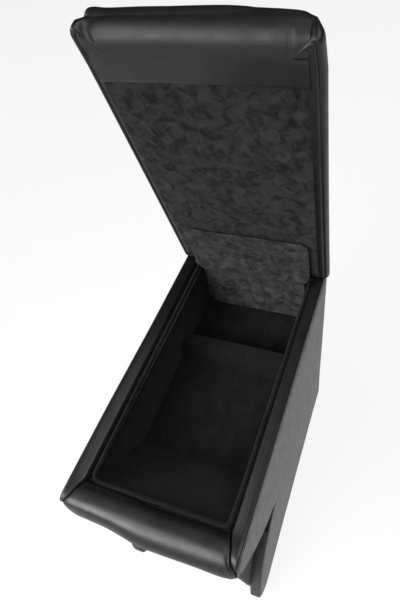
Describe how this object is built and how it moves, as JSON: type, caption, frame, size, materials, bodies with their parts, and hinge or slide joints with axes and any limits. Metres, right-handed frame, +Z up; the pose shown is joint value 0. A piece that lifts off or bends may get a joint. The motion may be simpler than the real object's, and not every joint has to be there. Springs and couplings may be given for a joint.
{
  "type": "car centre armrest",
  "caption": "Leather covered car centre armrest box with a padded hinged lid, velour lined storage tray and an open channel underneath that straddles the console.",
  "frame": {"origin": "floor level, under the middle of the box's length and width, where the open channel goes down over the console", "axes": "+X to the right seen from the front, +Y to the rear where the hinge is, +Z up; the lid is stored open as in the picture"},
  "size_m": [0.1526, 0.3057, 0.503],
  "materials": {
    "black_leather": "smooth black leather with a fine grain and a soft satin sheen",
    "tray_velour": "short black velour, matte",
    "lid_velour": "short dark grey velour with brushed pile patches",
    "carcass_board": "black stained fibreboard",
    "foam": "dark grey open cell foam",
    "hinge_steel": "plain rolled steel"
  },
  "bodies": {
    "box": {"side_board_left": "carcass_board", "side_board_right": "carcass_board", "rear_board": "carcass_board", "front_board": "carcass_board", "floor_board": "carcass_board", "side_foam_left": "foam", "side_foam_right": "foam", "rear_foam": "foam", "bolster_foam": "foam", "side_cover_left": "black_leather", "side_cover_right": "black_leather", "rim_strip_left": "black_leather", "rim_strip_right": "black_leather", "rear_cover": "black_leather", "bolster_cover": "black_leather", "liner_tray": "tray_velour", "liner_piping": "tray_velour", "divider_bar": "tray_velour", "hinge_leaf_box": "hinge_steel", "hinge_pin": "hinge_steel", "hinge_screws_box": "hinge_steel", "flap_lower": "lid_velour"},
    "lid": {"lid_board": "carcass_board", "lid_foam": "foam", "lid_cover": "black_leather", "lid_lining": "lid_velour", "hinge_leaf_lid": "hinge_steel", "hinge_screws_lid": "hinge_steel", "flap_upper": "lid_velour"}
  },
  "joints": [
    {"name": "lid_hinge", "type": "hinge", "parent": "box", "child": "lid", "pos_m": [0, 0.1322, 0.2355], "axis": [1, 0, 0], "range_deg": [-6, 75]}
  ]
}
